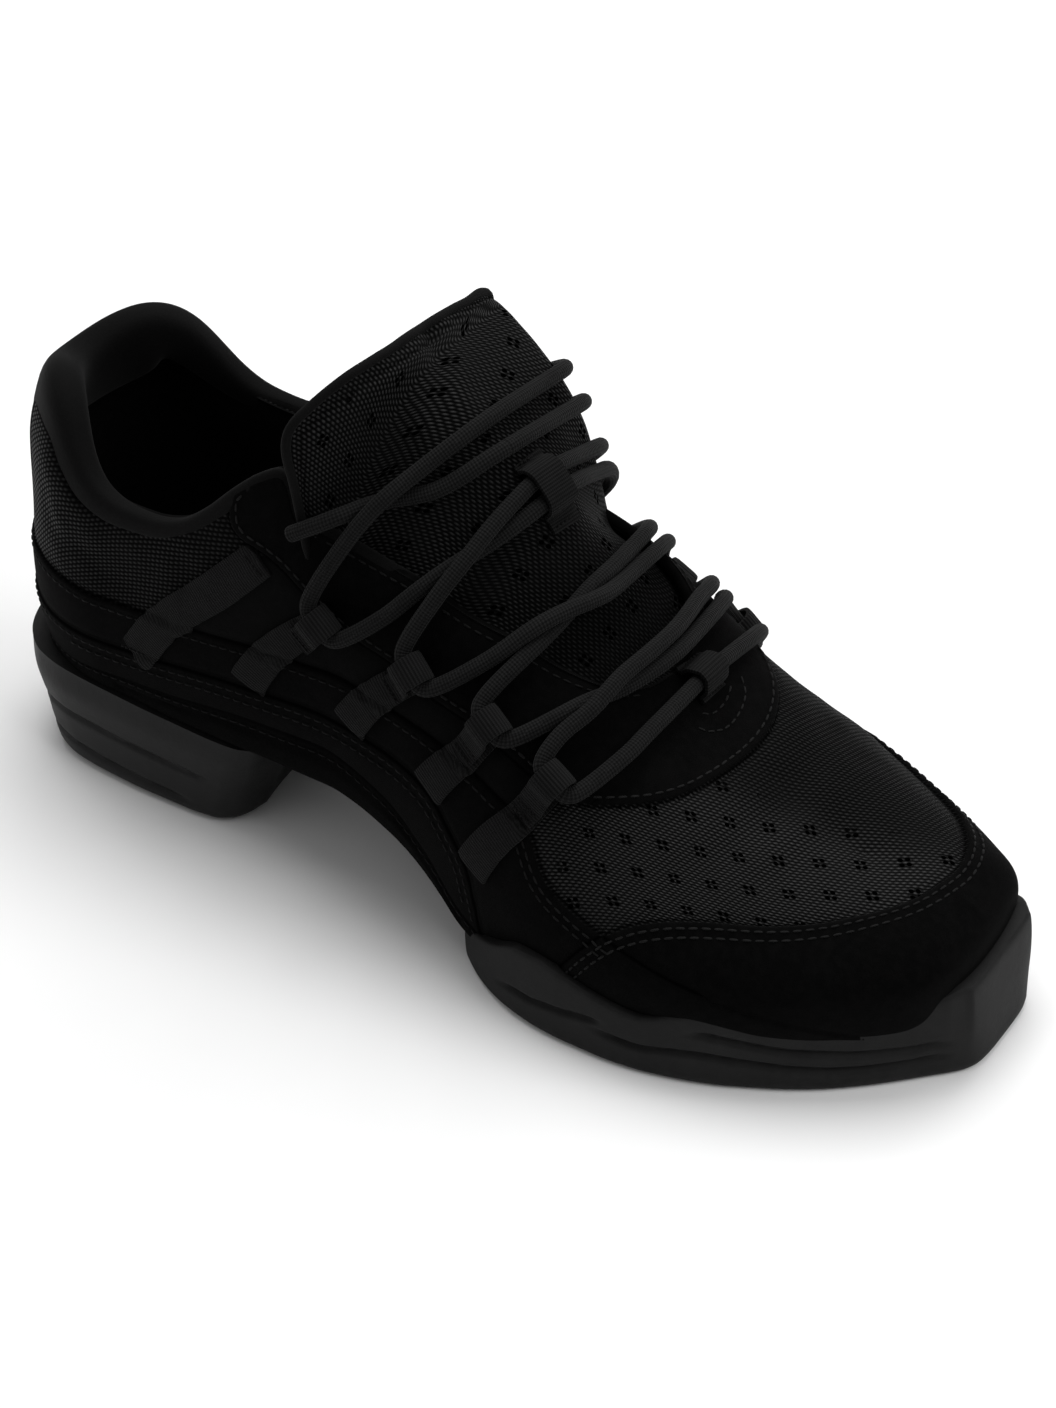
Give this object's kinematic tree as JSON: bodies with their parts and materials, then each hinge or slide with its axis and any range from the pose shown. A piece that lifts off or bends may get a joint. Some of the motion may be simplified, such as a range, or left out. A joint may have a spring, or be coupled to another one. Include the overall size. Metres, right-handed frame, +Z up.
{
  "type": "dance sneaker",
  "caption": "Low laced split-sole dance sneaker for the right foot: mesh and nubuck upper, webbing lace loops, raised heel unit and front cup sole with a flat toe block.",
  "frame": {"origin": "middle of the shoe's box on the floor plane it stands on", "axes": "+X heel to toe, -Y outer (lateral) side, +Y inner (medial) side, +Z up"},
  "size_m": [0.2635, 0.1056, 0.1315],
  "materials": {
    "upper": "black nubuck panels over dark knitted mesh, dull",
    "midsole": "black synthetic suede wrap, dull",
    "insole": "black textile footbed, dull",
    "outsole_front": "dark grey moulded rubber, satin",
    "outsole_heel": "dark grey moulded rubber, satin",
    "tongue": "dark grey open mesh over foam, dull",
    "loop_lateral_1": "dark grey ribbed webbing",
    "loop_lateral_2": "dark grey ribbed webbing",
    "loop_lateral_3": "dark grey ribbed webbing",
    "loop_lateral_4": "dark grey ribbed webbing",
    "loop_medial_1": "dark grey ribbed webbing",
    "loop_medial_2": "dark grey ribbed webbing",
    "loop_medial_3": "dark grey ribbed webbing",
    "loop_medial_4": "dark grey ribbed webbing",
    "lace": "dark grey round braid",
    "lace_end_near": "dark grey round braid",
    "lace_end_far": "dark grey round braid",
    "tongue_keeper": "dark grey webbing",
    "vamp_keeper": "dark grey webbing"
  },
  "bodies": {
    "root": {"upper": "upper", "midsole": "midsole", "insole": "insole", "outsole_front": "outsole_front", "outsole_heel": "outsole_heel", "tongue": "tongue", "loop_lateral_1": "loop_lateral_1", "loop_lateral_2": "loop_lateral_2", "loop_lateral_3": "loop_lateral_3", "loop_lateral_4": "loop_lateral_4", "loop_medial_1": "loop_medial_1", "loop_medial_2": "loop_medial_2", "loop_medial_3": "loop_medial_3", "loop_medial_4": "loop_medial_4", "lace": "lace", "lace_end_near": "lace_end_near", "lace_end_far": "lace_end_far", "tongue_keeper": "tongue_keeper", "vamp_keeper": "vamp_keeper"}
  },
  "joints": []
}
